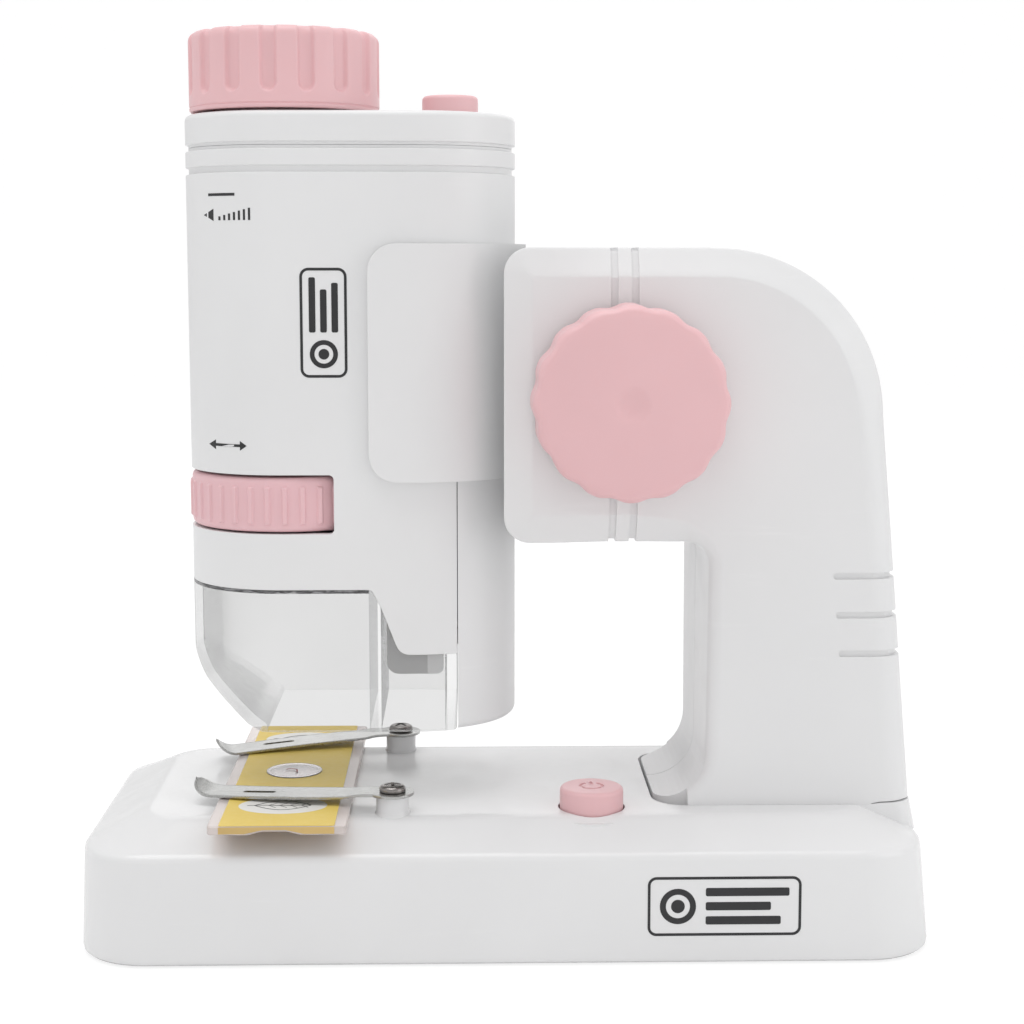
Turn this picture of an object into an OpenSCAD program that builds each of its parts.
// Toy stand microscope: a hand-held zoom microscope docked in a rack-and-pinion
// holder on a C-shaped arm, over a lit stage base with spring clips.
// Millimetres. +Z up, +X from the stage towards the arm, -Y is the front side.
// Origin: centre of the base footprint on the table.

/* [Base] */
// Length of the base along X
base_l = 158.4; // [158:0.2:163]
// Depth of the base along Y
base_d = 72.4; // [70:0.2:76]
// Height of the stage surface above the table
base_h = 25.3; // [25.3:0.1:25.3]
// Height of the vertical wall below the sloped top border
base_wall_h = 20.9; // [19:0.1:21.5]
// Width of the sloped border along the long sides
border_y = 9.1; // [6:0.1:9.5]
// Width of the sloped border at the short ends
border_x = 10.2; // [7:0.1:11]
// Plan radius of the base corners
base_corner = 13; // [8:0.5:15]
// Wall thickness of the base shell
base_t = 2.2; // [1.8:0.1:2.4]

/* [Stage clips] */
// Swivel angle of each clip towards the slide
clip_angle = 13; // [5:1:16]
// Width of the clip blade
clip_w = 7.2; // [5:0.1:8]
// Thickness of the clip steel
clip_t = 0.5; // [0.4:0.05:0.6]

/* [Microscope body] */
// Radius of the round ends of the body, half its width
body_r = 18.8; // [18.6:0.1:18.9]
// X of the optical axis
opt_x = -41.6; // [-42:0.1:-41]
// X of the centre of the round end on the arm side
cap_x = -16.8; // [-17:0.1:-16.6]
// Top face of the body
body_top = 154.3; // [153.5:0.1:154.6]
// Lowest edge of the clear nosepiece and of the battery cover
body_bot = 39.5; // [39:0.1:40]
// Wall thickness of the body shells
body_t = 1.8; // [1.5:0.1:1.8]

/* [Eyepiece] */
// Outer radius of the zoom knob
eye_r = 17.9; // [17:0.1:18.5]
// Top of the zoom knob
eye_top = 169.5; // [168:0.1:171]
// Number of flutes round the zoom knob
eye_flutes = 16; // [8:1:18]

/* [Focus ring] */
// Radius of the ring over its ribs
ring_r = 19.1; // [18.9:0.1:19.4]
// Number of ribs round the ring
ring_ribs = 36; // [16:1:40]

/* [Arm] */
// Half the width of the arm across Y
arm_w = 23; // [22.9:0.1:24]
// Width of the bevel round the arm's edges
arm_bevel = 3; // [1:0.5:3.5]
// Top of the arm head
arm_top = 129.7; // [129.5:0.1:130.5]
// Wall thickness of the arm shells
arm_t = 2; // [1.8:0.1:2]

/* [Focus drive] */
// X of the knob shaft
shaft_x = 21.8; // [21.8:0.1:21.8]
// Z of the knob shaft
shaft_z = 102.2; // [102.2:0.1:102.2]
// Radius of the steel shaft
shaft_r = 2.5; // [2:0.1:2.8]
// Gear module of rack and pinion
gear_m = 1; // [1:0.1:1]
// Number of pinion teeth
gear_n = 14; // [14:1:14]
// Outer radius of the focus knobs
knob_r = 17.3; // [16:0.1:18]
// Number of scallops round each focus knob
knob_scallops = 16; // [10:1:20]

/* [Specimen slide] */
// Width of the specimen slide
slide_w = 25; // [24:0.1:26]
// Length of the specimen slide
slide_l = 75; // [74:0.5:76]
// Thickness of the specimen slide
slide_t = 1.6; // [1.2:0.1:1.6]

/* [Hidden] */
$fn = 72;
e = 0.01;
bl = base_l / 2;
bd = base_d / 2;
foot_z = 0.3;                 // underside of base shell and plate
post_x = -21.3; post_y = 23.4; post_h = 3.5; post_r = 3.08;
btn_x = 16; btn_y = -20.2;    // power button
lbtn_x = -10.3;               // light button
seam_x = -9.2;                // edge of the battery cover
cover_top = 118;
step_z = 66.5; step2_z = 54.2; step_a = -24.9; step_b = -20.2;
cap_seam = 148.1;
ring_z0 = 77; ring_z1 = 88; win_x = -31.9;
hold_z0 = 86.8; hold_z1 = 130.4; hold_x = -25.3; hold_t = 2.1;
pitch_r = gear_m * gear_n / 2;
rack_line = shaft_x - pitch_r;   // 14.8
pink = [0.89, 0.72, 0.73];
white = [0.93, 0.93, 0.93];

// ---------- shared shapes ----------
module stadium(r) {
  translate([opt_x, 0]) circle(r = r, $fn = 96);
  translate([cap_x, 0]) circle(r = r, $fn = 96);
  translate([opt_x, -r]) square([cap_x - opt_x, 2 * r]);
}
// stadium prism between two heights
module sprism(r, z0, z1) { translate([0, 0, z0]) linear_extrude(z1 - z0) stadium(r); }
// hollow stadium wall
module stube(r, t, z0, z1) {
  translate([0, 0, z0]) linear_extrude(z1 - z0) difference() { stadium(r); stadium(r - t); }
}
module cz(x, y, z0, z1, r) { translate([x, y, z0]) cylinder(r = r, h = z1 - z0); }
// cylinder along +Y from y0 to y1
module cy(x, z, y0, y1, r) { translate([x, y0, z]) rotate([-90, 0, 0]) cylinder(r = r, h = y1 - y0); }
module cx(y, z, x0, x1, r) { translate([x0, y, z]) rotate([0, 90, 0]) cylinder(r = r, h = x1 - x0); }
module box(x0, x1, y0, y1, z0, z1) { translate([x0, y0, z0]) cube([x1 - x0, y1 - y0, z1 - z0]); }
// rounded rectangle prism
module rr(x0, x1, y0, y1, z0, z1, r) {
  translate([0, 0, z0]) linear_extrude(z1 - z0) {
    translate([x0 + r, y0]) square([x1 - x0 - 2 * r, y1 - y0]);
    translate([x0, y0 + r]) square([x1 - x0, y1 - y0 - 2 * r]);
    for (x = [x0 + r, x1 - r], y = [y0 + r, y1 - r]) translate([x, y]) circle(r = r, $fn = 48);
  }
}
// pan-head screw pointing down -Z, underside of the head at the origin
module screw(hr, hh, sr, len) {
  difference() {
    union() {
      cylinder(r = hr, h = hh * 0.55);
      translate([0, 0, hh * 0.55 - e]) cylinder(r1 = hr, r2 = hr * 0.72, h = hh * 0.45 + e);
      translate([0, 0, -len]) cylinder(r = sr, h = len + e);
    }
    for (a = [0, 90]) rotate([0, 0, a]) translate([-hr * 0.6, -0.3, hh * 0.45]) cube([hr * 1.2, 0.6, hh]);
  }
}
// lens: flat-edged disc with a domed top and bottom, along Z
module lens(r, edge, bulge) {
  R = (r * r + bulge * bulge) / (2 * bulge);
  rotate_extrude($fn = 64) intersection() {
    translate([0, -edge / 2 - bulge]) square([r, edge + 2 * bulge]);
    intersection() {
      translate([0, edge / 2 + bulge - R]) circle(r = R, $fn = 180);
      translate([0, -edge / 2 - bulge + R]) circle(r = R, $fn = 180);
    }
  }
}

// ---------- base ----------
// outer form of the base grown or shrunk by g, from zl up to zt
module base_form(g, zl, zt) {
  c = max(base_corner - g, 2);
  hull() {
    for (s = [-1, 1], q = [-1, 1]) {
      translate([q * (bl - g - c), s * (bd - g - c), zl]) cylinder(r = c, h = e, $fn = 40);
      translate([q * (bl - g - c) + (q > 0 ? -1.9 : 0.9), s * (bd - g - c - 0.6), base_wall_h - g * 0.5]) cylinder(r = c, h = e, $fn = 40);
      translate([q * (bl - border_x - g * 0.6 - c * 0.55) + (q > 0 ? -1.9 : 0.9), s * (bd - border_y - g * 0.6 - c * 0.55), zt - e]) cylinder(r = c * 0.55, h = e, $fn = 40);
    }
  }
}
foot_rear_x = 76.9;
// plan of the arm's foot pocket, grown by g
module foot_plan(g) {
  rr(28 - g, 60, -20 - g, 20 + g, base_h - 2, base_h + 20, 6 + g);
  box(50, foot_rear_x + g, -20 - g, 20 + g, base_h - 2, base_h + 20);
}
arm_foot = [[45, 12], [45, -12], [66, 12], [66, -12]];
plate_bosses = [[-61, 17], [-61, -17], [37, 26], [37, -26]];
module base_shell() {
  color(white) difference() {
    union() {
      difference() {
        base_form(0, foot_z, base_h);
        base_form(base_t, foot_z - 1, base_h - base_t);
      }
      // thick pad under the arm's foot
      intersection() { base_form(0.5, foot_z, base_h - 0.5); box(25, 78.5, -22.5, 22.5, base_h - 7, base_h - 1); }
      for (s = [-1, 1]) {
        cz(post_x, s * post_y, base_h - e, base_h + post_h, post_r);
        cz(post_x, s * post_y, base_h - 6.8, base_h - 1, 3.4);
      }
      // seat for the stage window and guide collar for the power button
      cz(opt_x, 0, base_h - 4.2, base_h - 1, 11);
      cz(btn_x, btn_y, base_h - 3.6, base_h - 1, 8.2);
      for (p = plate_bosses) cz(p[0], p[1], 3.1, base_h - 1, 3.4);
    }
    foot_plan(0.2);
    for (s = [-1, 1]) cz(post_x, s * post_y, base_h - 8, base_h + post_h + 1, 1.25);
    cz(opt_x, 0, base_h - 2, base_h + 1, 9);
    cz(opt_x, 0, base_h - 5, base_h + 1, 7.5);
    cz(btn_x, btn_y, base_h - 5, base_h + 1, 6.28);
    for (p = plate_bosses) cz(p[0], p[1], 3, 15, 1.25);
    for (p = arm_foot) cz(p[0], p[1], 0, base_h, 1.6);
    // wire pass between base and arm foot
  }
}
module base_plate() {
  color(white) difference() {
    union() {
      rr(-bl + 3, bl - 3.4, -bd + 2.9, bd - 2.9, foot_z, 3, base_corner - 2.4);
      // posts for the switch board and the light board
      for (x = [8.5, 23.5]) cz(x, btn_y, 3 - e, 11.9, 2.2);
      for (y = [-6, 6]) cz(opt_x, y, 3 - e, 13.9, 2);
      // battery cradle walls
      for (y = [-5.6, 11.9, 29.3]) box(-26.8, 23.2, y - 0.6, y + 0.6, 3 - e, 8);
    }
    for (x = [-68, 62], y = [-23, 23]) cz(x, y, 0, 1.6, 5.05);
    box(-29.1, 26.1, -4.6, 28.3, 0, 1.9 + 0.8);
    box(-26.9, 23.9, -4.6, 11.1, 0, 5);
    box(-26.9, 23.9, 12.6, 28.3, 0, 5);
    // pilot hole of the door screw
    cz(21, 12, -1, 7, 1.25);
    for (p = plate_bosses) { cz(p[0], p[1], -1, 4, 1.4); cz(p[0], p[1], 0, 2, 2.6); }
  }
}
module rubber_feet() {
  color([0.25, 0.25, 0.27]) for (x = [-68, 62], y = [-23, 23]) {
    cz(x, y, 0.3, 1.58, 5);
    translate([x, y, 0]) cylinder(r1 = 4.6, r2 = 5, h = 0.31);
  }
}
module base_screws() {
  color("silver") for (p = plate_bosses) translate([p[0], p[1], 1.98]) rotate([180, 0, 0]) screw(2.4, 1.15, 1.2, 9);
}
module stage_window() {
  color([0.95, 0.95, 0.95]) { cz(opt_x, 0, base_h - 1.95, base_h, 8.95); cz(opt_x, 0, base_h - 3.4, base_h - 1.9, 7.4); }
}
module base_led() {
  color("lightyellow") translate([opt_x, 0, 15.65]) {
    cylinder(r = 2.9, h = 1);
    cylinder(r = 2.5, h = 2.6);
    translate([0, 0, 2.6]) difference() { sphere(r = 2.5); translate([-3, -3, -6]) cube([6, 6, 6]); }
  }
}
module base_led_board() {
  color([0.1, 0.4, 0.2]) difference() {
    rr(opt_x - 9, opt_x + 9, -9, 9, 14, 15.6, 1);
    for (y = [-6, 6]) cz(opt_x, y, 13, 17, 0.8);
  }
}
module power_button() {
  color(pink) difference() {
    union() {
      cz(btn_x, btn_y, 19.9, base_h + 3.3, 5.97);
      translate([btn_x, btn_y, base_h + 3.29]) cylinder(r1 = 5.97, r2 = 5.3, h = 0.71);
      cz(btn_x, btn_y, 19.9, 21.2, 7.4);
      cz(btn_x, btn_y, 18.9, 20, 2);
    }
    // debossed power mark: ring with a gap and a short bar
    translate([btn_x, btn_y, base_h + 3.75]) difference() {
      cylinder(r = 2.6, h = 1); translate([0, 0, -1]) cylinder(r = 2.05, h = 3);
      translate([-0.8, 0.8, -1]) cube([1.6, 3, 3]);
    }
    translate([btn_x - 0.27, btn_y + 0.8, base_h + 3.75]) cube([0.54, 2.2, 1]);
  }
}
module power_switch() {
  color([0.1, 0.4, 0.2]) rr(5.5, 26.5, btn_y - 6, btn_y + 6, 12, 13.6, 1);
  color([0.15, 0.15, 0.15]) {
    box(btn_x - 3, btn_x + 3, btn_y - 3, btn_y + 3, 13.6 - e, 16.2);
    cz(btn_x, btn_y, 16.1, 17.2, 1.7);
  }
}
module aa_cell(len, r) {
  cylinder(r = r, h = len - 1.2);
  translate([0, 0, len - 1.3]) cylinder(r = r * 0.38, h = 1.3);
}
module base_batteries() {
  color([0.3, 0.35, 0.4]) {
    translate([-24.6, 3.2, 10.6]) rotate([0, 90, 0]) aa_cell(47.4, 7.1);
    translate([22.8, 20.6, 10.6]) rotate([0, -90, 0]) aa_cell(47.4, 7.1);
  }
}
module ring_stack(r, w, n, p) { for (i = [0:n - 1]) translate([0, 0, i * p]) rotate_extrude($fn = 32) translate([r, 0]) circle(r = w, $fn = 16); }
module base_contacts() {
  color("silver") {
    box(-27.9, -27.4, -3.5, 27.5, 4, 16);
    box(23.5, 24, -3.5, 27.5, 4, 16);
    // conical return springs drawn as touching rings
    translate([-27.1, 3.2, 10.6]) rotate([0, 90, 0]) ring_stack(3, 0.4, 3, 0.75);
    translate([23.2, 20.6, 10.6]) rotate([0, -90, 0]) translate([0, 0, -0.1]) ring_stack(3, 0.2, 1, 0.4);
  }
}
module wire(p, r) {
  for (i = [0:len(p) - 2]) {
    d = p[i + 1] - p[i]; L = norm(d);
    translate(p[i]) rotate([0, acos(d[2] / L), atan2(d[1], d[0])]) cylinder(r = r, h = L, $fn = 24);
  }
  for (i = [1:len(p) - 2]) translate(p[i]) sphere(r = r * 1.08, $fn = 24);
}
module base_wires() {
  color("crimson") wire([[-28.8, -2, 14], [-30, -10, 18], [-20, -14, 18], [0, -18, 18], [5.9, -18, 14.6]], 0.6);
  color([0.1, 0.1, 0.1]) wire([[-28.9, 1, 6], [-30.5, -3, 9], [-31, -4, 11.6], [-33.2, -4, 13.1]], 0.6);
}
module battery_door() {
  color(white) difference() {
    box(-29, 26, -4.5, 28.2, foot_z, 2.6);
    for (x = [-24:3:-12]) box(x, x + 1.2, 6, 18, 0, foot_z + 0.4);
    cz(21, 12, 0, 2, 2.4);
    cz(21, 12, 0, 4, 1.3);
  }
}
module battery_door_screw() { color("silver") translate([21, 12, 2]) rotate([180, 0, 0]) screw(2.3, 1.1, 1.2, 0.55); }

// ---------- stage clips ----------
// blade along -X from the screw hole at the origin; side profile in XZ, plan outline in XY
clip_len = 34.6;
function clip_z(s) = s < 5 ? 0 : s < 9 ? -0.45 * (1 - cos(180 * (s - 5) / 4)) / 2 : -0.45 - 1.27 * (s - 9) / (clip_len - 9);
module clip_blade() {
  n = 18;
  xs = [for (i = [0:n]) clip_len * i / n];
  curl = [for (a = [12:12:60]) [clip_len + 4.6 * sin(a), clip_z(clip_len) + 4.6 * (1 - cos(a))]];
  mid = concat([for (x = xs) [x, clip_z(x)]], curl);
  m = len(mid) - 1;
  intersection() {
    rotate([90, 0, 0]) translate([0, 0, -10]) linear_extrude(20)
      polygon(concat([[4, 0]], [for (p = mid) [-p[0], p[1]]],
        [for (i = [m:-1:0]) [-mid[i][0] - (i > n ? clip_t * sin(12 * (i - n)) * 0 : 0), mid[i][1] + clip_t / (i > n ? cos(12 * (i - n)) : 1)]], [[4, clip_t]]));
    difference() {
      union() {
        cz(0, 0, -5, 10, 4);
        translate([0, 0, -5]) linear_extrude(15) polygon(concat(
          [for (i = [0:n]) let (s = i / n) [-clip_len * s, -(2.5 + (clip_w / 2 - 2.5) * sin(min(90, 180 * s))) - 1.1 * sin(180 * s)]],
          [for (a = [90:15:180]) [-clip_len - 2 + 3.2 * cos(a), -1 * (clip_w / 2) * sin(a)]],
          [for (a = [180:15:270]) [-clip_len - 2 + 3.2 * cos(a), -1 * (clip_w / 2) * sin(a)]],
          [for (i = [n:-1:0]) let (s = i / n) [-clip_len * s, (2.5 + (clip_w / 2 - 2.5) * sin(min(90, 180 * s))) - 1.1 * sin(180 * s)]]));
      }
      cz(0, 0, -6, 11, 1.55);
      // pressed slot near the tip
      box(-28.6, -22.6, -0.75, 0.35, -6, 11);
    }
  }
}
clip_base = base_h + post_h + 0.05;
module clip_front() { color("lightgray") translate([post_x, -post_y, clip_base]) rotate([0, 0, -clip_angle]) clip_blade(); }
module clip_rear() { color("lightgray") translate([post_x, post_y, clip_base]) rotate([0, 0, clip_angle]) mirror([0, 1, 0]) clip_blade(); }
module clip_screws() {
  color("dimgray") for (s = [-1, 1]) translate([post_x, s * post_y, clip_base + clip_t + 0.05]) screw(2.45, 1.5, 1.2, 9);
}

// ---------- arm ----------
// slice of a rounded block, used inside hulls
module blk(x0, x1, z0, z1, r, y0, y1) {
  for (x = [x0 + r, x1 - r], z = [z0 + r, z1 - r]) cy2(x, z, y0, y1, r);
}
module cy2(x, z, y0, y1, r) { translate([x, y0, z]) rotate([-90, 0, 0]) cylinder(r = r, h = y1 - y0, $fn = 32); }
// head block shrunk by g all round, bevelled, from the mid plane to |y| = arm_w - g
module head_form(g) {
  hull() {
    blk(-0.5 + g, 46 - g, 75.6 + g, arm_top - g, 5, 0, arm_w - arm_bevel * 0.62 - g * 0.5);
    blk(-0.5 + g + arm_bevel * 1.6, 46 - g - arm_bevel * 1.6, 75.6 + g + arm_bevel * 1.6, arm_top - g - arm_bevel * 1.6, 3, 0, arm_w - g);
  }
}
// shoulder and column: a large round shoulder running down into the raked column
module column_form(g) {
  b = arm_bevel;
  hull() {
    for (k = [0, 1]) {
      w = k == 0 ? arm_w - b * 0.62 - g * 0.5 : arm_w - g;
      q = k == 0 ? g : g + b * 1.5;
      // shoulder arc
      intersection() { translate([36.7, 0, arm_top - 33.5]) rotate([-90, 0, 0]) cylinder(r = 33.5 - q, h = w, $fn = 64); box(38 + q, 90, -1, 40, 96.2, 140); }
      translate([38 + q, 0, 96.2]) cube([1, w, arm_top - q - 96.2]);
      translate([38 + q, 0, base_h - 4.8 + (g > 0 ? g : 0)]) cube([foot_rear_x - q - 38 - q, w - 3, 1]);
      translate([38 + q, 0, 70]) cube([72.2 - q - 38 - q, w - 1, 1]);
    }
  }
}
module arm_outer() {
  head_form(0);
  column_form(0);
  // concave fillet at the front of the foot
  difference() {
    box(28, 40, 0, 19, base_h - 1.8, base_h + 9.6);
    cy(28.4, base_h + 9.6, -1, 30, 9);
    translate([27.8 - 11, -1, base_h + 0.8]) cube([11, 30, 12]);
    difference() { box(27, 34, 13, 20, 20, 40); cz(34, 13, 19, 41, 6); }
  }
  box(37.6, 43, 0, 19.6, base_h - 1.8, 80);
}
arm_posts = [[31, 120, 21.4], [31, 84, 21.4], [58, 98, 21.4], [56, 42, 19.8]];
module arm_half() {
  difference() {
    union() {
      difference() {
        arm_outer();
        head_form(arm_t);
        difference() { column_form(arm_t); box(30, 80, -1, 30, base_h - 6, base_h + 0.6); }
      }
      // screw posts that meet at the mid plane, shaft boss, guide block
      for (p = arm_posts) cy(p[0], p[1], 0.05, p[2], 3.4);
      cy(shaft_x, shaft_z, 12, arm_w - 1, 5.5);
      box(6.4, 12.4, 4, 21.5, 77, 128.2);
      // foot bosses
      for (p = arm_foot) if (p[1] > 0) cz(p[0], p[1], base_h - 1.5, base_h + 12, 3.4);
      for (p = arm_foot) if (p[1] > 0) box(p[0] - 0.8, p[0] + 0.8, p[1], 18.5, base_h - 1.5, base_h + 8);
    }
    // everything stays on its own side of the parting plane
    box(-20, 100, -40, 0.05, 0, 150);
    // channel that the holder and the body run in
    box(-5, 6.4, -1, arm_w - 1.95, 60, 150);
    // T-slot of the carriage
    box(5, 8, -1, 6.15, 60, 150);
    box(7.85, 10.55, -1, 11.15, 78, 127);
    box(10.4, 13, -1, 4.2, 60, 150);
    cy(shaft_x, shaft_z, 5, 40, shaft_r + 0.05);
    for (p = arm_foot) cz(p[0], p[1], base_h - 3, base_h + 9, 1.25);
    // underside: seated in the base's pocket, then following its sloped border
    difference() { base_form(-0.25, foot_z, base_h + 0.25); foot_plan(0); }
    box(27, 71, -1, 30, base_h - 6, base_h - 2);
    // two trim grooves above and below the knob
    for (x = [18.9, 22.6]) box(x, x + 1.25, arm_w - 0.55, arm_w + 1, 70, 140);
    // three grip grooves wrapping the rear edge of the column
    for (z = [68.4, 61, 53.6]) {
      box(62, 85, 21.4 - (75 - z) * 0.02, 30, z - 0.62, z + 0.62);
      box(71.6 + (68.4 - z) * 0.1, 90, -1, 30, z - 0.62, z + 0.62);
    }
  }
}
module arm_rear() {
  color(white) difference() {
    arm_half();
    for (p = arm_posts) { cy(p[0], p[1], -1, 40, 1.4); cy(p[0], p[1], 13, 40, 2.6); }
  }
}
module arm_front() {
  color(white) mirror([0, 1, 0]) difference() {
    arm_half();
    for (p = arm_posts) cy(p[0], p[1], -1, 12, 1.25);
  }
}
module arm_screws() {
  color("silver") for (p = arm_posts) translate([p[0], 13.05, p[1]]) rotate([-90, 0, 0]) screw(2.4, 1.6, 1.2, 21);
}
module arm_foot_screws() {
  color("silver") for (p = arm_foot) translate([p[0], p[1], base_h - 7.05]) rotate([180, 0, 0]) screw(2.6, 1.6, 1.2, 13);
}
module friction_washers() {
  color("dimgray") for (s = [-1, 1]) translate([shaft_x, s * (arm_w + 0.55) - 0.45, shaft_z]) rotate([-90, 0, 0]) difference() {
    cylinder(r = 6.5, h = 0.9); translate([0, 0, -1]) cylinder(r = shaft_r + 0.1, h = 3);
  }
}

// ---------- focus drive ----------
module focus_shaft() {
  color("silver") cy(shaft_x, shaft_z, -33.5, 33.5, shaft_r);
}
// straight-flanked teeth with rounded proportions and backlash
tooth_back = 0.08;
function pol(r, a) = [r * cos(a), r * sin(a)];
module focus_pinion() {
  ra = gear_m * gear_n / 2 + gear_m * 0.9;
  rf = gear_m * gear_n / 2 - gear_m * 1.2;
  st = 360 / gear_n;
  function half(r) = let (t = gear_m * PI / 4 - tooth_back - (r - pitch_r) * tan(20 + (r > pitch_r ? 4 : -8))) t / r * 180 / PI;
  color("ivory") translate([shaft_x, -4.6, shaft_z]) rotate([-90, 0, 0]) difference() {
    union() {
      linear_extrude(9.2) polygon([for (i = [0:gear_n - 1], k = [0:5])
        let (r = (k == 0 || k == 5) ? rf : (k == 1 || k == 4) ? pitch_r : ra,
             s = k < 3 ? -1 : 1)
        pol(r, 180 + i * st + s * half(r))]);
      translate([0, 0, -3]) cylinder(r = 4.6, h = 15.2);
    }
    translate([0, 0, -6]) cylinder(r = shaft_r + 0.02, h = 22);
  }
}
module knob() {
  // rear face at z = 0, front at z = 12.8, hub bore along Z
  r0 = knob_r; h = 12.8;
  color(pink) difference() {
    union() {
      cylinder(r = r0, h = h - 2.2);
      translate([0, 0, h - 2.21]) cylinder(r1 = r0, r2 = r0 - 0.7, h = 1.3);
      translate([0, 0, h - 0.92]) cylinder(r1 = r0 - 0.7, r2 = r0 - 2, h = 0.92);
    }
    for (i = [0:knob_scallops - 1]) rotate([0, 0, (i + 0.5) * 360 / knob_scallops])
      translate([r0 + 2.55, 0, -1]) cylinder(r = 3.1, h = h + 3, $fn = 32);
    // shallow finger dimple in the front face
    translate([0, 0, h + 10.6]) sphere(r = 11.2, $fn = 96);
    difference() {
      translate([0, 0, -1]) cylinder(r = r0 - 2.8, h = h - 1.2);
      translate([0, 0, -2]) cylinder(r = 5.6, h = h + 2);
    }
    translate([0, 0, -1]) cylinder(r = shaft_r + 0.02, h = h - 2.2);
  }
}
module focus_knob_front() { translate([shaft_x, -arm_w - 1.2, shaft_z]) rotate([90, 0, 0]) knob(); }
module focus_knob_rear() { translate([shaft_x, arm_w + 1.2, shaft_z]) rotate([-90, 0, 0]) knob(); }

// ---------- holder and carriage ----------
module holder_clip() {
  r = body_r + 0.15;
  color(white) difference() {
    union() {
      intersection() {
        sprism(r + hold_t - 0.15, hold_z0, hold_z1);
        translate([0, 40, 0]) rotate([90, 0, 0]) linear_extrude(80) {
          translate([hold_x + 5, hold_z0]) square([50, hold_z1 - hold_z0]);
          translate([hold_x, hold_z0 + 5]) square([50, hold_z1 - hold_z0 - 10]);
          for (z = [hold_z0 + 5, hold_z1 - 5]) translate([hold_x + 5, z]) circle(r = 5, $fn = 64);
        }
      }
      box(0, 6.1, -5.9, 5.9, 87.5, 126);
    }
    sprism(r, 80, 140);
    for (z = [90.5, 109.5]) { cx(0, z, 0, 12, 1.4); cx(0, z, 0, 3.95, 2.6); }
  }
}
rack_z0 = 86.2; rack_z1 = 113.6;
module focus_rack() {
  p = gear_m * PI;
  function hw(x) = gear_m * PI / 4 - tooth_back - (x - rack_line) * tan(20);
  xr = rack_line - gear_m * 1.2; xt = rack_line + gear_m * 0.9;
  // tooth spaces are centred on the pinion's tooth, so solid teeth sit half a pitch away
  color("ivory") difference() {
    union() {
      box(6.15, 8.2, -5.9, 5.9, rack_z0, rack_z1);
      box(8, 10.4, -11, 11, rack_z0, rack_z1);
      box(10.3, xr, -3.6, 3.6, rack_z0, rack_z1);
      translate([0, 3.6, 0]) rotate([90, 0, 0]) linear_extrude(7.2)
        for (k = [-5:3]) let (c = shaft_z + (k + 0.5) * p)
          polygon([[xr - 0.3, c - hw(xr)], [xt, c - hw(xt)], [xt, c + hw(xt)], [xr - 0.3, c + hw(xr)]]);
    }
    for (z = [90.5, 109.5]) cx(0, z, 0, 12.5, 1.25);
  }
}
module rack_screws() {
  color("silver") for (z = [90.5, 109.5]) translate([3.9, 0, z]) rotate([0, -90, 0]) screw(2.4, 1.4, 1.2, 8);
}

// ---------- hand-held microscope ----------
// everything below the white shell: region taken by the clear nosepiece, grown by g
module nose_region(g, xe = seam_x) {
  translate([0, 60, 0]) rotate([90, 0, 0]) linear_extrude(120)
    polygon([[-90, 0], [-90, step_z + g], [step_a + g, step_z + g], [step_b - 1.6 + g, step2_z + 2.4 + g], [step_b + 0.4, step2_z + g], [xe, step2_z + g], [xe, 0]]);
}
module body_shell() {
  color(white) union() {
    difference() {
      sprism(body_r, step2_z - 1, cap_seam);
      sprism(body_r - body_t, step2_z - 2, cap_seam + 1);
      nose_region(0, seam_x + 3);
      // battery cover opening
      box(seam_x, 20, -30, 30, 0, cover_top);
      // ring window
      box(-80, win_x, -30, 30, ring_z0, ring_z1);
      // two trim grooves round the body
      for (z = [143.2, 147.5]) difference() { sprism(body_r + 1, z, z + 1.3); sprism(body_r - 0.6, z - 1, z + 3); }
    }
    // shelves above and below the focus ring
    difference() {
      intersection() {
        union() { sprism(body_r - 0.6, 75.2, ring_z0 - 0.05); sprism(body_r - 0.6, ring_z1 + 0.05, ring_z1 + 1.6); }
        box(-70, -29, -30, 30, 70, 95);
      }
      cz(opt_x, 0, 60, 100, 12.5);
    }
    // floor above the clear nosepiece, with holes for the objective and the lamp
    difference() {
      intersection() { sprism(body_r - 0.6, 70.1, 71.5); box(-70, -25.5, -30, 30, 60, 95); }
      cz(opt_x, 0, 60, 100, 12.5);
      cz(-27.4, 0, 60, 100, 1.7);
      box(-30, -27.4, -1.2, 1.2, 60, 100);
    }
    // tongues that hang behind the clear wall
    for (s = [-1, 1]) {
      difference() {
        box(-22.4, -14.9, s > 0 ? body_r - 3.05 : -body_r + 1.85, s > 0 ? body_r - 1.85 : -body_r + 3.05, 50.2, 62);
        nose_tip(s);
      }
      box(-18.6, -15.4, s > 0 ? body_r - 2.6 : -body_r + 0.9, s > 0 ? body_r - 0.9 : -body_r + 2.6, 56.2, 61.4);
    }
  }
}
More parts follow.
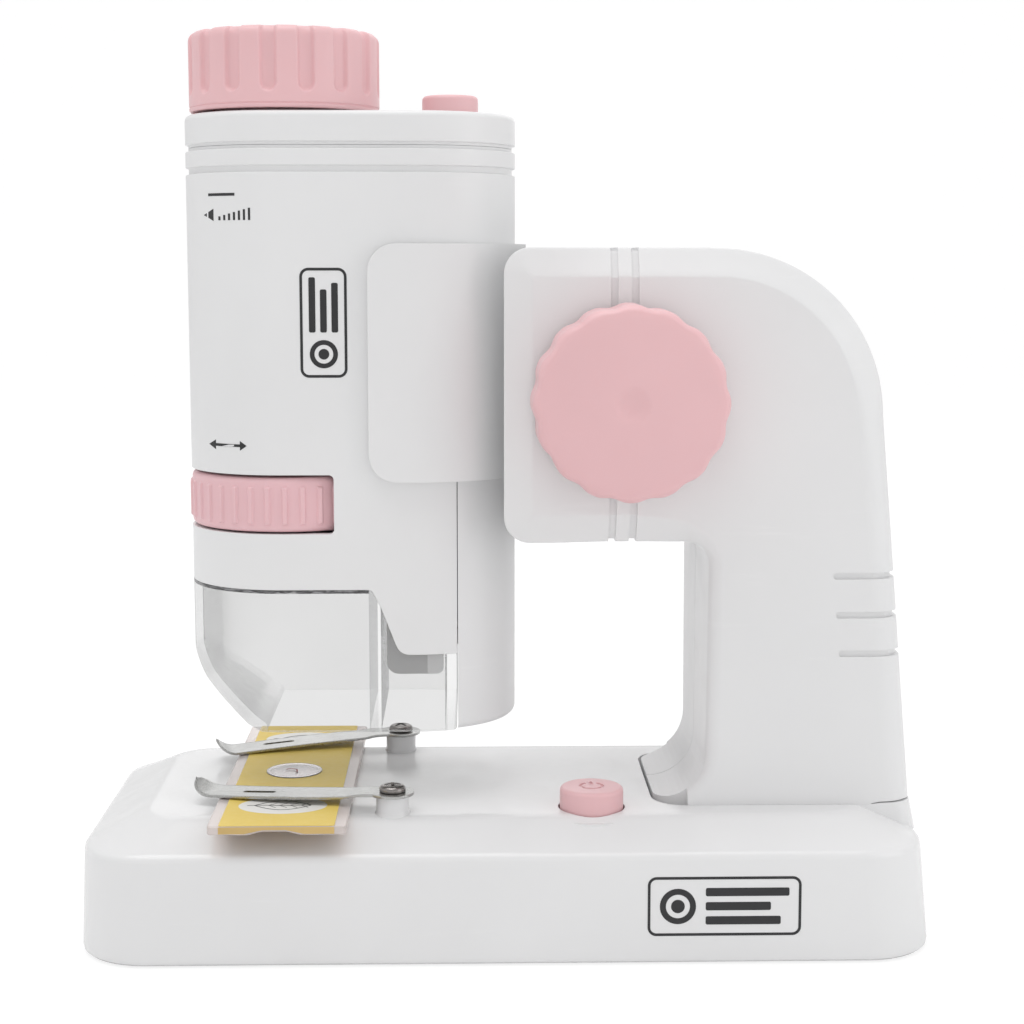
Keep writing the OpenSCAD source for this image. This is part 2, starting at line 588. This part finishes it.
// rounds the lower corner of each tongue
module nose_tip(s) { translate([-14.9, s * (body_r - 2.4), 50.2]) rotate([0, 45, 0]) cube([2.4, 4, 2.4], center = true); }
module top_cap() {
  color(white) difference() {
    union() {
      difference() { sprism(body_r, cap_seam + 0.05, body_top - 0.9); sprism(body_r - body_t, cap_seam - 1, body_top - 2); }
      sprism(body_r - 0.9, body_top - 1, body_top);
      stube(body_r - body_t - 0.1, 1.1, cap_seam - 3, body_top - 1);
      cz(lbtn_x, 0, body_top - 3.2, body_top - 1, 7.4);
    }
    difference() { sprism(body_r + 1, cap_seam, cap_seam + 0.7); sprism(body_r - 0.6, cap_seam - 1, cap_seam + 3); }
    cz(opt_x, 0, 140, 160, 13.15);
    cz(lbtn_x, 0, 140, 160, 5.45);
  }
}
module inner_frame() {
  color([0.85, 0.85, 0.86]) difference() {
    union() {
      box(-14.4, -12.8, -14.5, 14.5, 56, 134);
      intersection() { union() { sprism(body_r - body_t - 0.1, 128, 133); sprism(body_r - body_t - 0.1, 90.2, 94.2); } box(-70, -12.8, -30, 30, 80, 140); }
      // battery box floor and ceiling
      intersection() { union() { sprism(body_r - body_t - 0.3, 55.5, 57.2); sprism(body_r - body_t - 0.3, 106, 116); } box(-14.4, seam_x + 7, -30, 30, 50, 120); }
    }
    cz(opt_x, 0, 120, 140, 11.05);
    cz(opt_x, 0, 85, 100, 12.05);
    cx(0, 111, -12, 10, 1.25);
    box(-12.7, 5, -10, 10, 108, 109.3);
  }
}
module battery_cover() {
  color(white) difference() {
    union() {
      intersection() {
        union() {
          difference() { sprism(body_r, body_bot, cover_top - 0.1); sprism(body_r - body_t, body_bot + 1.8, cover_top - 1.8); }
        }
        box(seam_x + 0.1, 20, -30, 30, 30, 130);
      }
      cx(0, 111, -1.9, 0.5, 3.6);
    }
    cx(0, 111, -10, 10, 1.4);
    cx(0, 111, 0.2, 10, 2.6);
  }
}
module cover_screw() { color("silver") translate([0.25, 0, 111]) rotate([0, 90, 0]) screw(2.3, 1.3, 1.2, 8); }
module body_batteries() {
  color([0.3, 0.35, 0.4]) {
    translate([-7.4, -5.5, 59.2]) aa_cell(44.5, 5.2);
    translate([-7.4, 5.5, 103.9]) rotate([180, 0, 0]) aa_cell(44.5, 5.2);
  }
}
module body_contacts() {
  color("silver") {
    box(-12, -3.2, -9.5, 9.5, 57.3, 57.7);
    box(-12, -3.2, -9.5, 9.5, 105.3, 105.7);
    translate([-7.4, -5.5, 58.0]) ring_stack(2.4, 0.35, 2, 0.65);
    translate([-7.4, 5.5, 104.3]) ring_stack(2.4, 0.35, 2, 0.65);
  }
}
module nosepiece() {
  w = 1.6;
  color([0.8, 0.85, 0.88, 0.35]) difference() {
    union() {
      intersection() {
        nose_region(-0.08);
        difference() {
          intersection() { sprism(body_r, body_bot, 80); box(-70, seam_x - 0.1, -30, 30, 30, 90); }
          // hollow that follows the outside, open above and below
          difference() { sprism(body_r - w, body_bot - 1, 90); box(-25.6, -23.6, -30, 30, 30, 90); box(seam_x - 2.2, 0, -30, 30, 30, 90); bevel_slab(0, w + 0.6); }
        }
      }
      // spigot up into the white shell
      intersection() { union() { stube(body_r - body_t - 0.1, 1, step_z - 2, step_z + 3.4); stube(body_r - 0.6, 2.3, step_z - 2.2, step_z - 0.5); } box(-70, -27, -30, 30, 40, 90); }
    }
    bevel_cut();
  }
}
// the nose is cut away by a raked face at the front end
bev_a = [opt_x - body_r, 54]; bev_b = [-46.2, body_bot];
module bevel_cut() {
  translate([0, 60, 0]) rotate([90, 0, 0]) linear_extrude(120)
    polygon([[bev_a[0] - 4, bev_a[1] + 4 * 14.5 / 14.2], [bev_a[0] - 0.0, bev_a[1]], [bev_a[0] + 3.2, bev_a[1] - 4.6], [bev_b[0] - 2.6, bev_b[1] + 1.5], [bev_b[0] + 1.2, bev_b[1] - 0.2], [-60, 10], [-80, 20], [-80, 58]]);
}
module bevel_slab(a, t) {
  translate([0, 60, 0]) rotate([90, 0, 0]) linear_extrude(120)
    polygon([[bev_a[0] - 4, bev_a[1] + 6], [bev_a[0] + 1.2 + 0.6, bev_a[1] + 0.6], [bev_a[0] + 5, bev_a[1] - 4], [bev_b[0] - 1.0, bev_b[1] + 3.1], [bev_b[0] + 2.6, bev_b[1] + 1.6], [bev_b[0] + 2.6, 30], [-80, 30]]);
}
module body_led() {
  color("lightyellow") translate([-27.4, 0, 0]) {
    cz(0, 0, 69.3, 72, 1.45);
    translate([0, 0, 69.3]) sphere(r = 1.45, $fn = 48);
    for (y = [-0.64, 0.64]) cz(0, y, 71.9, 72.8, 0.22);
  }
}
module body_led_board() {
  color([0.1, 0.4, 0.2]) rr(-29.0, -16, -7, 7, 72.9, 74.5, 0.8);
}
module light_switch() {
  color([0.1, 0.4, 0.2]) rr(-15.5, -3, -6.5, 6.5, 141.5, 143.1, 0.8);
  color([0.15, 0.15, 0.15]) { box(lbtn_x - 3, lbtn_x + 3, -3, 3, 143.1 - e, 145.7); cz(lbtn_x, 0, 145.6, 147.2, 1.7); }
}
module light_button() {
  color(pink) {
    cz(lbtn_x, 0, 149.3, 157.7, 5.3);
    translate([lbtn_x, 0, 157.69]) cylinder(r1 = 5.3, r2 = 4.8, h = 0.51);
    cz(lbtn_x, 0, 149.3, 150.3, 6.6);
  }
}
module zoom_knob() {
  z0 = body_top + 0.5;
  color(pink) difference() {
    union() {
      cz(opt_x, 0, z0 + 0.35, eye_top - 1.2, eye_r);
      translate([opt_x, 0, z0]) cylinder(r1 = eye_r - 0.3, r2 = eye_r, h = 0.36);
      translate([opt_x, 0, eye_top - 1.21]) cylinder(r1 = eye_r, r2 = eye_r - 1.2, h = 1.21);
      cz(opt_x, 0, 149, z0 + 1, 13);
      cz(opt_x, 0, 149, 150.4, 14.2);
    }
    // flutes, open at the top with a round lower end
    for (i = [0:eye_flutes - 1]) rotate_about(opt_x, 18.2 + i * 360 / eye_flutes) {
      translate([eye_r + 0.6, 0, z0 + 4.5]) cylinder(r = 1.5, h = 20, $fn = 32);
      translate([eye_r + 0.6, 0, z0 + 4.5]) sphere(r = 1.5, $fn = 32);
    }
    // cavity between the rim and the centre tube
    difference() { cz(opt_x, 0, z0 - 1, eye_top - 2.6, eye_r - 2.6); cz(opt_x, 0, 140, 180, 13); }
    cz(opt_x, 0, 140, eye_top - 2.6, 11.15);
    // eye cup
    cz(opt_x, 0, 160, 180, 8.4);
    translate([opt_x, 0, eye_top - 1.6]) cylinder(r1 = 8.4, r2 = 11.4, h = 1.61);
  }
}
module rotate_about(x, a) { translate([x, 0, 0]) rotate([0, 0, a]) children(); }
module eyepiece_lens() { color([0.8, 0.9, 1, 0.4]) translate([opt_x, 0, eye_top - 4.6]) lens(11.1, 1.2, 1.3); }
module eyepiece_lens_ring() {
  color("dimgray") difference() { cz(opt_x, 0, eye_top - 8.6, eye_top - 6.6, 11.1); cz(opt_x, 0, 150, 170, 9); }
}
module zoom_tube() {
  color([0.15, 0.15, 0.16]) difference() {
    cz(opt_x, 0, 122, 153, 11);
    cz(opt_x, 0, 123.5, 160, 9.6);
    cz(opt_x, 0, 100, 160, 8.4);
  }
}
module zoom_lens() { color([0.8, 0.9, 1, 0.4]) translate([opt_x, 0, 126.1]) lens(9.55, 1, 1); }
module focus_ring() {
  color(pink) difference() {
    union() {
      cz(opt_x, 0, ring_z0 + 0.95, ring_z1 - 1.2, ring_r - 0.4);
      translate([opt_x, 0, ring_z0 + 0.3]) cylinder(r1 = ring_r - 1, r2 = ring_r - 0.4, h = 0.66);
      translate([opt_x, 0, ring_z1 - 1.21]) cylinder(r1 = ring_r - 0.4, r2 = ring_r - 1, h = 0.66);
      for (i = [0:ring_ribs - 1]) rotate_about(opt_x, 2 + i * 360 / ring_ribs) box(ring_r - 1.5, ring_r, -0.38, 0.38, ring_z0 + 1.6, ring_z1 - 2.3);
    }
    cz(opt_x, 0, 60, 100, 12.1);
  }
}
module objective_barrel() {
  color([0.85, 0.85, 0.86]) difference() {
    union() { cz(opt_x, 0, 71, 97, 12); cz(opt_x, 0, 69.6, 71.1, 6); }
    cz(opt_x, 0, 76.5, 110, 10.5);
    cz(opt_x, 0, 71.5, 77, 4.6);
    cz(opt_x, 0, 60, 77, 3);
    difference() { cz(opt_x, 0, 72.4, 77, 10.5); cz(opt_x, 0, 60, 80, 6); }
  }
}
module objective_lens() { color([0.8, 0.9, 1, 0.4]) translate([opt_x, 0, 73.55]) lens(4.5, 1.2, 1.3); }

// ---------- prepared specimen slide ----------
sl_z = base_h + 0.02;
module slide_strip() {
  color([0.85, 0.87, 0.88, 0.6]) difference() {
    rr(opt_x - slide_w / 2, opt_x + slide_w / 2, -slide_l / 2, slide_l / 2, sl_z, sl_z + slide_t, 0.6);
    // finger arches under both ends
    for (s = [-1, 1]) translate([opt_x - 1.5, s * slide_l / 2, sl_z - 11.25]) rotate([90, 0, 0]) translate([0, 0, -2]) cylinder(r = 12, h = 4, $fn = 96);
  }
}
module slide_label() {
  z = sl_z + slide_t;
  color([0.94, 0.8, 0.3]) difference() {
    rr(opt_x - slide_w / 2 + 2.6, opt_x + slide_w / 2 - 2.6, -slide_l / 2 + 0.5, slide_l / 2 - 0.5, z, z + 0.1, 0.4);
    cz(opt_x, 0, z - 1, z + 1, 5.6);
  }
}
module specimen_cover() {
  z = sl_z + slide_t;
  color([0.9, 0.9, 0.92, 0.6]) { cz(opt_x, 0, z, z + 0.2, 5.4); cz(opt_x, 0, z + 0.19, z + 0.34, 4.7); }
}

base_shell();
base_plate();
rubber_feet();
base_screws();
stage_window();
base_led();
base_led_board();
power_button();
power_switch();
base_batteries();
base_contacts();
base_wires();
battery_door();
battery_door_screw();
clip_front();
clip_rear();
clip_screws();
arm_front();
arm_rear();
arm_screws();
arm_foot_screws();
friction_washers();
focus_shaft();
focus_pinion();
focus_knob_front();
focus_knob_rear();
holder_clip();
focus_rack();
rack_screws();
body_shell();
top_cap();
inner_frame();
battery_cover();
cover_screw();
body_batteries();
body_contacts();
nosepiece();
body_led();
body_led_board();
light_switch();
light_button();
zoom_knob();
eyepiece_lens();
eyepiece_lens_ring();
zoom_tube();
zoom_lens();
focus_ring();
objective_barrel();
objective_lens();
slide_strip();
slide_label();
specimen_cover();
